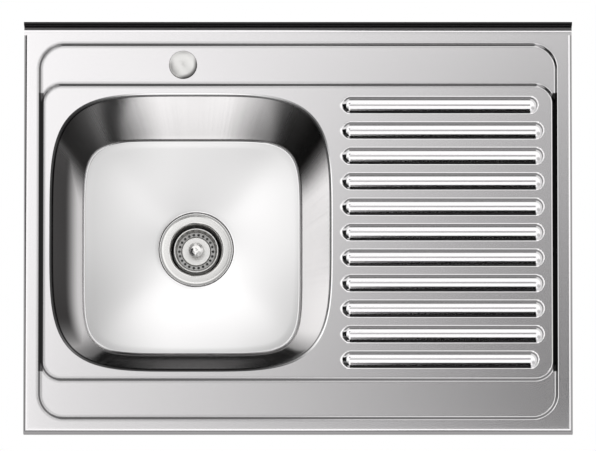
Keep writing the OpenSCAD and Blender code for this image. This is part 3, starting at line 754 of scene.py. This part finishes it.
class SINK_OT_plate(Operator):
    """Pressed plate: rim, two ledges, sunk work area and drainer ribs, with the bowl's and the tap's holes"""

    bl_idname = "sink.plate"
    bl_label = "Pressed plate"

    def execute(self, context):
        plate = in_mm("plate")
        mouth, _ = bowl_mouth()
        tap_ring = TAP[:2] + spun(plate.tap_hole, 0, turns(48))
        # The bowl's mouth is left out of the grid as a cross of two boxes, and the tap's hole as one box
        (x0, y0), (x1, y1) = mouth.min(axis=0), mouth.max(axis=0)
        wide = [x0 - 3, y0 + 20, x1 + 4, y1 - 20]
        tall = [wide[0] + 22, y0 - 2.2, wide[2] - 22, y1 + 2.2]
        tap = [TAP[0] - 24, TAP[1] - 20, TAP[0] + 24, TAP[1] + 20]
        wide, tall, tap = (np.round(box, 3).tolist() for box in (wide, tall, tap))
        xs, ys = self.lines(wide, tall, tap)
        x, y = np.meshgrid(xs, ys)
        cell_x, cell_y = np.meshgrid((xs[1:] + xs[:-1]) / 2, (ys[1:] + ys[:-1]) / 2)
        keep = np.ones(cell_x.shape, bool)
        parts = []
        left_out = (([wide, tall], cross_corners(wide, tall), mouth), ([tap], box_corners(tap), tap_ring))
        for boxes, corners, ring in left_out:
            for box in boxes:
                keep &= (cell_x < box[0]) | (cell_x > box[2]) | (cell_y < box[1]) | (cell_y > box[3])
            border = grid_ring(xs, ys, corners)
            level = float(plate_height(*border[0]))
            parts.append(flat_patch(border, ring, level))
            parts.append(flat_patch(border, ring, level - plate.sheet, flip=True))
            parts.append(woven(raised(ring, [[level], [level - plate.sheet]]), wrap_columns=True))
        upper = np.stack([x, y, plate_height(x, y)], axis=-1)
        lower = upper - [0, 0, plate.sheet]
        parts.append(woven(upper, keep=keep))
        parts.append(woven(lower, keep=keep, flip=True))
        number = np.arange(x.size).reshape(x.shape)
        border = np.concatenate([number[0, :-1], number[:-1, -1], number[-1, :0:-1], number[:0:-1, 0]])
        rim = np.stack([upper.reshape(-1, 3)[border], lower.reshape(-1, 3)[border]])
        parts.append(woven(rim, wrap_columns=True))
        steel = finish(pressed_stainless)
        piece = new_piece("plate", parts, "sink", "deck", steel, even=False)
        self.square_up(piece.data)
        return {"FINISHED"}

    def lines(self, wide, tall, tap):
        """Grid lines of the plate across and along, in stretches (from, to, gap): fine over the steps and
        the ends of the ribs, coarse where it is flat"""
        rib = in_mm("rib")
        corner = in_mm("plate").panel_corner
        grid, panel, work = plate_plan()
        xs = grid_lines(
            (grid[0], panel[0] - 2, 6),
            (panel[0] - 2, work[0] + STEP_LAND, 1),
            (work[0] + STEP_LAND, panel[0] + corner + 2, 2),
            (panel[0] + corner + 2, rib.left - 3, 26),
            (wide[0], wide[2], 400),
            (tall[0], tall[2], 26),
            (tap[0], tap[2], 24),
            (rib.left - 3, rib.left + 20, 1.3),
            (rib.left + 20, rib.right - 22.5, 16),
            (rib.right - 22.5, rib.right + 2.5, 1.1),
            (rib.right + 2.5, work[2] - STEP_LAND, 3),
            (work[2] - STEP_LAND, panel[2] + 2, 1),
            (panel[2] + 2, grid[2], 6),
        )
        half = rib.width / 2 + 1.3
        last = rib.count // 2
        middles = (work[1] + work[3]) / 2 + np.arange(-last, last + 1) * rib.pitch
        ribs = [(place - half, place + half, 1.85) for place in middles]
        ys = grid_lines(
            (grid[1], panel[1] - 2, 6),
            (panel[1] - 2, panel[1] + STEP_LAND, 1),
            (panel[1] + STEP_LAND, panel[1] + corner + 2, 2),
            (panel[1] + corner + 2, work[1] - 2, 6),
            (work[1] - 2, work[1] + STEP_LAND, 1),
            (work[1] + STEP_LAND, ribs[0][0], 2),
            (ribs[0][0], ribs[-1][1], 7),
            *ribs,
            (ribs[-1][1], work[3] - STEP_LAND, 2),
            (work[3] - STEP_LAND, work[3] + 2, 1),
            (work[3] + 2, tap[1], 5),
            (tap[1], panel[3] - corner, 5),
            (panel[3] - corner, panel[3] - STEP_LAND, 2),
            (tap[3], tap[3] + 1, 1),
            (panel[3] - STEP_LAND, panel[3] + 2, 1),
            (panel[3] + 2, grid[3], 6),
            (wide[1], wide[3], 400),
            (tall[1], tall[3], 400),
        )
        return xs, ys

    def square_up(self, mesh):
        """Gives every corner of the plate's faces the direction that its formula gives, but for the upright
        edges of the holes"""
        corners = read(mesh.loops, "vertex_index", np.int32)
        places = read(mesh.vertices, "co", width=3).astype(float) / MM
        square = plate_normal(places[:, 0], places[:, 1])
        starts = read(mesh.polygons, "loop_start", np.int32)
        counts = np.diff(np.append(starts, len(corners)))
        upward = np.repeat(read(mesh.polygons, "normal", width=3)[:, 2], counts)
        normals = square[corners] * np.sign(upward)[:, None]
        normals[np.abs(upward) < 0.3] = 0
        mesh.normals_split_custom_set(normals.tolist())


class SINK_OT_edge(Operator):
    """Folded edge on three sides with its seat lip, and the rear upstand"""

    bl_idname = "sink.edge"
    bl_label = "Folded edge and upstand"

    def execute(self, context):
        plate = in_mm("plate")
        sheet, edge, rim, lip = plate.sheet, plate.edge, plate.rim, plate.lip
        rear = plate_plan()[0][3]
        left, front = PLATE_LOW[:2]
        right, back, top = PLATE_HIGH
        path = rounded_path([(-edge - EDGE_LAND, rim), (0, rim, edge), (0, 0, 1.2), (-lip, 0)])
        fold = sheet_section(path, -sheet)
        stations = np.array([[left, rear], [left, front], [right, front], [right, rear]])
        outward = np.array([[-1, 0], [-1, -1], [1, -1], [1, 0]])
        parts = [bar(raised(stations[:, None] + fold[None, :, :1] * outward[:, None], fold[:, 1]))]
        face = back - plate.upstand_sheet
        crown = 0.47 * plate.upstand_sheet
        outline = rounded_path([
            (rear, rim), (face, rim, plate.upstand_foot), (face, top, crown), (back, top, crown),
            (back, 0, 1.2), (back - lip, 0), (back - lip, sheet),
            (back - sheet, sheet, 1), (back - sheet, rim - sheet), (rear, rim - sheet),
        ])
        parts.append(bar(np.stack([np.insert(outline, 0, side, axis=1) for side in (left, right)])))
        # Cheeks close the ends of the fold under the upstand, a little inside its faces
        for outer, inner in ((left, left + edge), (right, right - edge)):
            plan = np.array(box_corners((outer, rear - 0.4, inner, back - 0.4)))
            parts.append(bar(raised(plan, [[0.1], [rim - sheet / 2]])))
        new_piece("edge", parts, "sink", "deck", finish(pressed_stainless), sharp=30)
        return {"FINISHED"}


class SINK_OT_bowl(Operator):
    """Drawn bowl: superellipses from the roll at its mouth to the floor, the recess and the waste hole"""

    bl_idname = "sink.bowl"
    bl_label = "Bowl"

    def execute(self, context):
        stations = self.stations()
        angles = bowl_angles()
        rings = []
        for inset, height, toward, radius in stations:
            ring = BOWL + bowl_outline(angles, inset)
            circle = WASTE[:2] + radius * unit(ring - WASTE[:2])
            rings.append(raised(ring * (1 - toward) + circle * toward, height))
        shell = woven(np.stack(rings), wrap_rows=True, wrap_columns=True)
        new_piece("bowl_shell", [shell], "sink", "bowl", finish(drawn_stainless), sharp=50)
        return {"FINISHED"}

    def stations(self):
        """Rings of the bowl, down its inside and back up its outside: (inset, height, share, radius). A ring
        goes from the outline at its inset towards the waste's circle of its radius, by its share"""
        bowl, plate = in_mm("bowl"), in_mm("plate")
        sheet = plate.sheet
        work_z = plate.rim - 2 * plate.drop
        floor_z = work_z - bowl.depth
        lean = math.atan(bowl.run / bowl.depth)
        floor_in = bowl.run + bowl.floor_radius * math.tan((math.pi / 2 - lean) / 2)
        _, start = bowl_mouth()
        wall = rounded_path([
            (start, work_z), (0, work_z, bowl.roll),
            (bowl.run, floor_z, bowl.floor_radius), (floor_in + 0.01, floor_z),
        ], turn=5)[1:-1]
        # The long straight part of the wall gets ten rings more
        drop = np.flatnonzero(np.diff(wall[:, 1]) < -20)[0]
        extra = np.linspace(0, 1, 12)[1:-1, None]
        straight = wall[drop] * (1 - extra) + wall[drop + 1] * extra
        wall = np.concatenate([wall[: drop + 1], straight, wall[drop + 1 :]])
        rim_r = bowl.recess + bowl.recess_depth / 2
        brink = rim_r + 1.5
        floor_low = floor_z - bowl.fall
        rows, floor_reach = 24, 90
        share = np.linspace(0, 1, rows + 1)[1:]
        dip = rounded_path([
            (rim_r + 4, floor_low), (rim_r, floor_low, 1), (bowl.recess, floor_low - bowl.recess_depth, 1),
            (bowl.hole, floor_low - bowl.recess_depth),
        ])[1:]
        upper = np.concatenate([
            columns(wall[:, 0], wall[:, 1], 0, brink),
            columns(floor_in, floor_z - bowl.fall * ramp(share - 0.03, 0.03), share, brink),
            columns(floor_in, dip[:, 1], 1, dip[:, 0]),
        ])
        floor_end = floor_in + floor_reach
        way_in = np.concatenate([wall[:, 0], floor_in + floor_reach * share, floor_end + (brink - dip[:, 0])])
        moved = moved_path(columns(way_in, upper[:, 1]), -sheet)
        under = upper.copy()
        under[:, 1] = moved[:, 1]
        under[: len(wall), 0] = moved[: len(wall), 0]
        under[len(wall) + rows :, 3] -= (moved[:, 0] - way_in)[len(wall) + rows :]
        under[0] = [start, work_z - 2 * sheet, 0, rim_r]
        outer = start - bowl.flange
        flange = columns([outer, outer, start], work_z - sheet * np.array([2, 1, 1]), 0, rim_r)
        return np.concatenate([upper, under[::-1], flange])


class SINK_OT_strainer(Operator):
    """Strainer waste: flange and cup with drain holes, perforated basket, knob and rubber stopper"""

    bl_idname = "sink.strainer"
    bl_label = "Strainer waste"

    def execute(self, context):
        self.cup()
        self.basket()
        self.knob()
        self.stopper()
        return {"FINISHED"}

    def cup(self):
        """Flange and cup: a ring of drain holes in the floor, round the hole of the clamp screw"""
        waste = in_mm("waste")
        sheet, hole = waste.sheet, waste.drain_hole
        flange_z = high_corner("strainer_flange")[2]
        cup_z = flange_z - waste.cup_depth
        inner, outer = waste.drain_ring - hole - 2, waste.drain_ring + hole + 2
        cell_steps = 20
        steps = waste.drain_holes * cell_steps
        under = cup_z - sheet
        eye = np.array([(inner, under), (SCREW_HOLE, under), (SCREW_HOLE, cup_z), (inner, cup_z)])
        cup = rounded_path([
            (outer, cup_z), (waste.cup_floor, cup_z, 4), (waste.mouth, flange_z, 3.5),
            (waste.flange - 3, flange_z, 20), (waste.flange, flange_z - 0.7),
        ])
        parts = [revolved(eye, steps, wrap=False), revolved(sheet_section(cup, -sheet), steps, wrap=False)]
        parts += pierced_ring(inner, outer, cup_z, sheet, waste.drain_holes, hole, cell_steps, 6)
        steel = finish(bright_stainless)
        new_piece("flange_and_cup", parts, "sink", "strainer_flange", steel)

    def basket(self):
        """Basket: raised centre, sunk ring with the holes, flared wall with a rolled rim"""
        waste = in_mm("waste")
        sheet, count = waste.sheet, waste.basket_holes
        top = high_corner("strainer_basket")[2]
        radius = half_width("strainer_basket")
        ring_z = low_corner("strainer_basket")[2] + sheet
        centre_z = low_corner("basket_knob")[2] - 0.3
        inner, outer, post_hole = 22.4, 27.1, 4.05
        cell_steps = 6
        steps = count * cell_steps
        hat = rounded_path([
            (inner, ring_z - sheet), (22, ring_z - sheet, 0.3), (20.5, centre_z - sheet, 0.5),
            (post_hole, centre_z - sheet), (post_hole, centre_z),
            (20.5, centre_z, 1.2), (22, ring_z, 0.3), (inner, ring_z),
        ])
        wall = rounded_path([
            (outer, ring_z), (28.4, ring_z, 1.2),
            (radius - 2.2, top, 1), (radius - 0.6, top, 0.5), (radius, top - 0.9),
        ])
        parts = [revolved(hat, steps, wrap=False), revolved(sheet_section(wall, -sheet), steps, wrap=False)]
        parts += pierced_ring(inner, outer, ring_z, sheet, count, waste.basket_hole, cell_steps, 3)
        steel = finish(bright_stainless)
        new_piece("basket_shell", parts, "basket", "strainer_basket", steel)

    def knob(self):
        """Knob: a waisted stem under a button with a rounded top"""
        low, top = low_corner("basket_knob")[2], high_corner("basket_knob")[2]
        radius = half_width("basket_knob")
        bore_top = low + 0.6 * (top - low)
        profile = rounded_path([
            (POST_BORE, low), (6, low, 0.4), (4.6, low + 3, 3), (4.6, top - 9.5, 2), (radius, top - 6.6, 1.6),
            (radius, top - 3.4, 1.0), (0.62 * radius, top - 1.3, 9), (0.3 * radius, top - 0.2, 9),
            (0, top), (0, bore_top), (POST_BORE, bore_top),
        ])
        knob = [revolved(profile)]
        new_piece("lifting_knob", knob, "knob_set", "basket_knob", finish(bright_stainless))

    def stopper(self):
        """Stopper: a bell of rubber whose lip closes on the cup's floor"""
        low, high = low_corner("stopper_seal")[2], high_corner("stopper_seal")[2]
        radius = half_width("stopper_seal")
        body_low = low_corner("post_nut")[2] + 3
        profile = rounded_path([
            (POST_BORE, body_low), (radius - 4, body_low, 0.8), (radius - 2.5, low), (radius, low, 0.5),
            (radius, high - 1.2, 0.8), (radius - 1.5, high, 1), (POST_BORE, high),
        ])
        bell = [revolved(profile)]
        new_piece("stopper", bell, "knob_set", "stopper_seal", finish(black_rubber))


class SINK_OT_waste_body(Operator):
    """Moulded waste body: straight part, funnel, threaded outlet, clamping flange and the boss on its arms"""

    bl_idname = "sink.waste_body"
    bl_label = "Waste body"

    def execute(self, context):
        waste = in_mm("waste")
        low, high = low_corner("waste_body")[2], high_corner("waste_body")[2]
        outer = half_width("waste_body")
        wall, mouth, bore = 3.0, 41, 20.9
        outlet = bore + wall
        outlet_top, funnel_top = low + 22, low + 44
        inner = rounded_path([(mouth, high), (mouth, funnel_top, 6), (bore, outlet_top, 4), (bore, low)])
        inner = np.concatenate([inner, [[outlet, low]]])
        shoulder = rounded_path([
            (outlet, outlet_top - 3), (outlet, outlet_top - 0.5, 2), (mouth + wall, funnel_top + 0.5, 8),
            (mouth + wall, high - wall, 1), (outer, high - wall, 0.8), (outer, high, 0.8), (mouth, high),
        ])
        boss_low, boss_high = -188.0, -174.0
        boss = rounded_path([
            (SCREW_HOLE, boss_high), (SCREW_HOLE, boss_high - 10), (SCREW_HOLE, boss_low + 2.5),
            (0, boss_low + 2), (0, boss_low), (9, boss_low, 1), (9, boss_high, 0.5), (5.05, boss_high),
        ])
        parts = [revolved(inner, wrap=False), self.thread(waste, outlet, low, outlet_top - 3)]
        parts += [revolved(shoulder, wrap=False), revolved(boss, 48)]
        corners = ((-1.5, boss_high - 6), (1.5, boss_high - 6), (1.5, boss_high), (-1.5, boss_high))
        section = rounded_path([(*corner, 0.6) for corner in corners], closed=True)
        reach = np.array([[6.0], [42.0]])
        for angle in np.radians([90, 210, 330]):
            parts.append(bar(raised(WASTE[:2] + spun(reach, section[:, 0], angle), section[:, 1])))
        plastic = finish(moulded_plastic)
        new_piece("waste_funnel", parts, "sink", "waste_body", plastic, sharp=35)
        return {"FINISHED"}

    def thread(self, waste, outlet, low, top):
        """Part: outlet's thread. radius = outlet - depth |2 frac(height / pitch - angle / turn) - 1|, and the
        depth fades out over 2 mm at both ends"""
        rows = np.linspace(low, top, 70)[:, None]
        angles = turns(96)
        turn = rows / waste.thread_pitch - angles / (2 * np.pi)
        tooth = np.abs(2 * (turn - np.floor(turn)) - 1)
        share = np.clip(np.minimum(rows - low - 1, top - 1 - rows) / 2, 0, 1)
        plan = WASTE[:2] + spun(outlet - waste.thread_depth * tooth * share, 0, angles)
        return woven(raised(plan, rows), wrap_columns=True)


class SINK_OT_tap_cap(Operator):
    """Cap of the unused tap hole: a low dome with a turned-down edge"""

    bl_idname = "sink.tap_cap"
    bl_label = "Tap hole cap"

    def execute(self, context):
        low, top = low_corner("tap_hole_cap")[2], high_corner("tap_hole_cap")[2]
        radius = half_width("tap_hole_cap")
        ball, sheet = 52.0, 1.0
        across = np.linspace(radius - 1.6, 0, 22)
        dome = np.column_stack([across, top - ball + np.sqrt(ball**2 - across**2)])
        edge = rounded_path([(radius, low), (radius, dome[0, 1] - 0.2, 1.5), dome[0]])
        cap = [revolved(sheet_section(np.concatenate([edge, dome[1:]]), sheet), centre=TAP[:2])]
        new_piece("cap_shell", cap, "sink", "tap_hole_cap", finish(brushed_stainless))
        return {"FINISHED"}


KEPT_NODES = {
    zinc_plate: (
        "earth_tag", "clip_front_left", "clip_front_right", "clip_rear_left", "clip_rear_right",
        "clamp_screw", "basket_post", "post_nut", "cap_stud", "cap_bridge", "cap_wing_nut",
    ),
    black_rubber: ("flange_gasket", "body_gasket", "cap_seal"),
    damping_pad: ("bowl_pad", "drainer_pad"),
    turned_brass: ("thread_insert",),
}


class SINK_OT_fittings(Operator):
    """Finishes of the clips, fasteners, gaskets and pads, whose shapes are the frame's own"""

    bl_idname = "sink.fittings"
    bl_label = "Fittings"

    def execute(self, context):
        for maker, names in KEPT_NODES.items():
            for name in names:
                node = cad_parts[name]
                if not node.material_slots:
                    node.data.materials.append(finish(maker))
                for slot in node.material_slots:
                    slot.material = finish(maker)
        return {"FINISHED"}


WHITE = (1.0, 1.0, 1.0, 1.0)
# Dark patches of the room, seen from the sink: (towards, half angle all dark, half angle at the edge, depth)
DARK_PATCHES = (
    ((-0.481, -0.342, 0.807), 6, 20, 0.5),
    ((0.481, -0.342, 0.807), 6, 20, 0.5),
    ((-0.64, -0.49, 0.59), 12, 20, 0.95),
    ((-0.38, -0.62, 0.68), 9, 14, 0.95),
)
# Dark bands low in the room: (side, lowest and highest upward part, depth). Side 0 runs all round, -1
# is only in front and 1 only at the rear
DARK_BANDS = (
    (0, 0.04, 0.43, 0.78),
    (0, 0.4, 0.7, 0.3),
    (0, -1.1, 0.04, 0.65),
    (-1, 0.44, 0.72, 0.985),
    (1, 0.45, 0.64, 0.8),
)
# Black cards: name, box (left, near, right, far) and height, in metres
FLAGS = (
    ("rear_flag", (-0.6, 1.12, 0.02, 1.5), 2.6),
    ("left_flag", (-2.5, -0.2, -0.85, 0.9), 1.0),
    ("rib_flag", (0.065, -3.4, 0.7, -1.2), 3.0),
)


def stage_card(name, box, height, glow=None):
    """Flat card of the studio, in metres, that shows in the steel and not in the picture. It is black, or
    glows white by what a function of the place gives"""
    material = bpy.data.materials.new(name)
    material.use_nodes = True
    tree = material.node_tree
    level = glow(add("TexCoord", tree=tree, give="Object")) if glow else 0.0
    light = add("Emission", WHITE, level, tree=tree)
    fill(tree.nodes["Material Output"], {"Surface": light})
    mesh = bpy.data.meshes.new(name)
    mesh.from_pydata([(x, y, height) for x, y in box_corners(box)], [], [(0, 1, 2, 3)])
    mesh.materials.append(material)
    card = bpy.data.objects.new(name, mesh)
    bpy.context.scene.collection.objects.link(card)
    card.visible_camera = False
    card.visible_shadow = False


class SINK_OT_stage(Operator):
    """White studio: a room with dark patches, cards overhead and at the sides, and the camera"""

    bl_idname = "sink.stage"
    bl_label = "Studio"

    def execute(self, context):
        studio = setting("studio")
        scene = context.scene
        scene.view_settings.view_transform = "Standard"
        self.room(scene)
        self.tone_card(studio)
        for name, box, height in FLAGS:
            stage_card(name, box, height)
        self.camera(studio, scene)
        return {"FINISHED"}

    def room(self, scene):
        """Room: white, times (1 - depth) where a dark patch or band lies. The camera sees plain white"""
        world = bpy.data.worlds.new("White room")
        scene.world = world
        world.use_nodes = True
        tree = world.node_tree
        way = add("TexCoord", tree=tree, give="Generated")
        level = 1.28
        for towards, dark, edge, depth in DARK_PATCHES:
            unit_way = Vector(towards).normalized()
            near = add("VectorMath", way, unit_way, operation="DOT_PRODUCT", give="Value")
            share = fade(near, math.cos(math.radians(edge)), math.cos(math.radians(dark)))
            level = darken(level, depth, share)
        x, y, z = add("SeparateXYZ", way).node.outputs
        aside = add("Math", x, operation="ABSOLUTE")
        for side, low, high, depth in DARK_BANDS:
            shares = [window(z, low - 0.02, low + 0.02, high - 0.02, high + 0.02)]
            if side:
                shares += [fade(aside, 0.16, 0.1), fade(y, 0.2 * side, 0.3 * side)]
            level = darken(level, depth, *shares)
        camera = add("LightPath", tree=tree, give="Is Camera Ray")
        shown = add("Mix", {0: camera, 2: level, 3: 1.0}, data_type="FLOAT")
        fill(tree.nodes["Background"], {"Color": WHITE, "Strength": shown})

    def tone_card(self, studio):
        """Overhead card: level = 1.22 - 0.58 t^1.25, t = share to the right + 0.6 share to the front, and a
        soft bright spot over the bowl. Shares count over the part that the plate mirrors to the camera"""
        height = studio.card_height
        grow = 1 + height / studio.distance
        tilt = height / math.tan(studio.elevation)
        width, depth, front_part = 0.8, 0.6, 0.6

        def level(place):
            x, y, _ = add("SeparateXYZ", place).node.outputs
            right = add("Math", x, 1 / (width * grow), 0.5, operation="MULTIPLY_ADD")
            start = front_part * (1 + (tilt / grow - 0.0085) / depth)
            front = add("Math", y, -front_part / (depth * grow), start, operation="MULTIPLY_ADD")
            both = add("Math", add("Math", right, front, operation="ADD"), 0.0, operation="MAXIMUM")
            power = add("Math", both, 1.25, operation="POWER")
            slope = add("Math", power, -0.58, 1.22, operation="MULTIPLY_ADD")
            slope = add("Math", slope, 0.1, operation="MAXIMUM")
            spot = (-0.16 * grow, 0.31 * grow + tilt, height)
            size = (1 / (0.15 * grow), 1 / (0.13 * grow), 1)
            off = add("VectorMath", place, spot, operation="SUBTRACT")
            off = add("VectorMath", off, size, operation="MULTIPLY")
            away = add("VectorMath", off, operation="LENGTH", give="Value")
            return add("Math", fade(away, 1.3, 0.3), 0.25, slope, operation="MULTIPLY_ADD")

        box = (-0.42 * grow, -0.12 * grow + tilt, 0.52 * grow, 0.63 * grow + tilt)
        stage_card("fading_card", box, height, level)

    def camera(self, studio, scene):
        """Camera that looks down at the plate from slightly in front of it"""
        data = bpy.data.cameras.new("Camera")
        camera = bpy.data.objects.new("Camera", data)
        scene.collection.objects.link(camera)
        aim = Vector((0.0, 0.2955, 0.03))
        back = Vector((0.0, -math.cos(studio.elevation), math.sin(studio.elevation)))
        camera.location = aim + back * studio.distance
        camera.rotation_euler = (-back).to_track_quat("-Z", "Y").to_euler()
        data.lens = data.sensor_width * studio.distance / studio.view_width
        scene.camera = camera


class SINK_PT_panel(Panel):
    """Sizes and pieces of the sink"""

    bl_label = "Kitchen sink"
    bl_idname = "SINK_PT_panel"
    bl_space_type = "VIEW_3D"
    bl_region_type = "UI"
    bl_category = "Sink"

    def draw(self, context):
        for group in GROUPS:
            box = self.layout.box()
            box.label(text=GROUPS[group].__doc__)
            settings = setting(group)
            for name in settings.__annotations__:
                box.prop(settings, name)
        for operator in OPERATORS:
            self.layout.operator(operator.bl_idname)


GROUPS = {
    "plate": PlateSettings,
    "rib": RibSettings,
    "bowl": BowlSettings,
    "waste": WasteSettings,
    "finish": FinishSettings,
    "studio": StudioSettings,
}
OPERATORS = (
    SINK_OT_stage,
    SINK_OT_plate,
    SINK_OT_edge,
    SINK_OT_bowl,
    SINK_OT_strainer,
    SINK_OT_waste_body,
    SINK_OT_tap_cap,
    SINK_OT_fittings,
)


def register():
    for group, settings in GROUPS.items():
        bpy.utils.register_class(settings)
        setattr(bpy.types.Scene, "sink_" + group, PointerProperty(type=settings))
    for kind in (*OPERATORS, SINK_PT_panel):
        bpy.utils.register_class(kind)


def unregister():
    for kind in reversed((*OPERATORS, SINK_PT_panel)):
        bpy.utils.unregister_class(kind)
    for group, settings in GROUPS.items():
        delattr(bpy.types.Scene, "sink_" + group)
        bpy.utils.unregister_class(settings)


def main():
    register()
    for operator in OPERATORS:
        getattr(bpy.ops.sink, operator.bl_idname.split(".")[1])()


if __name__ == "__main__":
    main()
